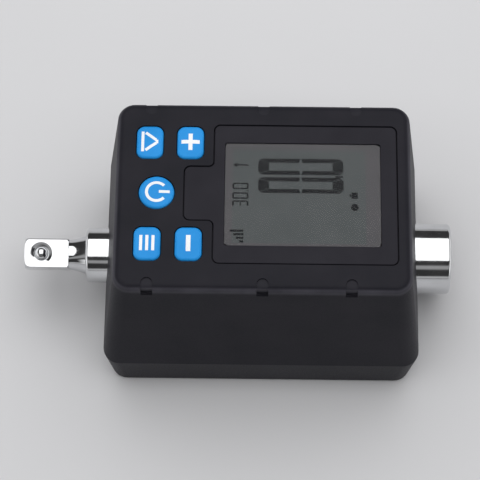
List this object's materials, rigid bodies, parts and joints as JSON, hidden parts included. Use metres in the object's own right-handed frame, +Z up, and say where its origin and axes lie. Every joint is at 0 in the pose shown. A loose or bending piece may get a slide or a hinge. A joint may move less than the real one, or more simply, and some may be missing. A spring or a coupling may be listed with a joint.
{
  "type": "digital torque adapter",
  "caption": "Square-drive torque sensor: a chrome shaft with a male drive and a female socket runs through a flared black housing with a display, blue keys and a battery door.",
  "frame": {"origin": "middle of the housing's flat underside", "axes": "+X along the shaft from the male drive to the female socket, +Z up through the display, +Y towards the battery door"},
  "size_m": [0.0928, 0.0506, 0.0452],
  "materials": {
    "housing_black": "fine moulded texture",
    "panel_black": "fine satin",
    "lens_clear": "clear, polished",
    "display_glass": "grey display with dark numerals",
    "key_blue": "satin with printed symbols",
    "shaft_chrome": "polished plating",
    "bright_steel": "bright",
    "insert_brass": "turned",
    "board_green": "satin",
    "chip_black": "moulded",
    "parts_tan": "matte",
    "seal_rubber": "soft",
    "white_plastic": "moulded",
    "guide_acrylic": "polished",
    "wire_sleeve": "smooth sleeve",
    "gauge_foil": "film",
    "anchor_aluminium": "machined",
    "tray_grey": "moulded",
    "cell_sleeve": "printed sleeve, left plain"
  },
  "bodies": {
    "housing": {"upper_shell": "housing_black", "lower_shell": "housing_black", "display_panel": "panel_black", "window_lens": "lens_clear", "lcd_glass": "display_glass", "lcd_frame": "white_plastic", "backlight_guide": "guide_acrylic", "backlight_lamps": "guide_acrylic", "contact_strip": "seal_rubber", "main_board": "board_green", "board_screws": "bright_steel", "processor": "chip_black", "bridge_amplifier": "chip_black", "board_parts": "parts_tan", "crystal": "bright_steel", "buzzer": "chip_black", "switch_bodies": "chip_black", "sensor_socket": "white_plastic", "sensor_plug": "white_plastic", "sensor_lead": "wire_sleeve", "torque_shaft": "shaft_chrome", "strain_gauges": "gauge_foil", "gauge_terminal": "board_green", "detent_spring": "bright_steel", "male_bush": "white_plastic", "female_bush": "white_plastic", "male_seal": "seal_rubber", "female_seal": "seal_rubber", "male_clip": "bright_steel", "female_clip": "bright_steel", "anchor_block": "anchor_aluminium", "anchor_screws": "bright_steel", "battery_tray": "tray_grey", "contact_plates": "bright_steel", "contact_springs": "bright_steel", "housing_screws": "bright_steel", "housing_inserts": "insert_brass"},
    "peak_key": {"peak_key": "key_blue", "peak_plunger": "white_plastic"},
    "plus_key": {"plus_key": "key_blue", "plus_plunger": "white_plastic"},
    "power_key": {"power_key": "key_blue", "power_plunger": "white_plastic"},
    "menu_key": {"menu_key": "key_blue", "menu_plunger": "white_plastic"},
    "minus_key": {"minus_key": "key_blue", "minus_plunger": "white_plastic"},
    "detent_ball": {"detent_ball": "shaft_chrome"},
    "battery_door": {"battery_door": "housing_black", "door_screw": "bright_steel"},
    "cells": {"upper_cell": "cell_sleeve", "lower_cell": "cell_sleeve"}
  },
  "joints": [
    {"name": "peak_key_press", "type": "slide", "parent": "housing", "child": "peak_key", "axis": [0, 0, -1], "range_m": [0, 0.0004], "stiffness_N_per_m": 1500, "springref_m": -0.0005},
    {"name": "plus_key_press", "type": "slide", "parent": "housing", "child": "plus_key", "axis": [0, 0, -1], "range_m": [0, 0.0004], "stiffness_N_per_m": 1500, "springref_m": -0.0005},
    {"name": "power_key_press", "type": "slide", "parent": "housing", "child": "power_key", "axis": [0, 0, -1], "range_m": [0, 0.0004], "stiffness_N_per_m": 1500, "springref_m": -0.0005},
    {"name": "menu_key_press", "type": "slide", "parent": "housing", "child": "menu_key", "axis": [0, 0, -1], "range_m": [0, 0.0004], "stiffness_N_per_m": 1500, "springref_m": -0.0005},
    {"name": "minus_key_press", "type": "slide", "parent": "housing", "child": "minus_key", "axis": [0, 0, -1], "range_m": [0, 0.0004], "stiffness_N_per_m": 1500, "springref_m": -0.0005},
    {"name": "detent_ball_press", "type": "slide", "parent": "housing", "child": "detent_ball", "axis": [0, 0.309, -0.9511], "range_m": [0, 0.0007], "stiffness_N_per_m": 4000, "springref_m": -0.001, "deforming": ["detent_spring"]},
    {"name": "battery_door_slide", "type": "slide", "parent": "housing", "child": "battery_door", "axis": [0, 1, 0], "range_m": [0, 0.04]},
    {"name": "cells_slide", "type": "slide", "parent": "housing", "child": "cells", "axis": [0, 1, 0], "range_m": [0, 0.02]}
  ],
  "couplings": [
    {"joint": "cells_slide", "follows": "battery_door_slide", "ratio": 0.5}
  ]
}
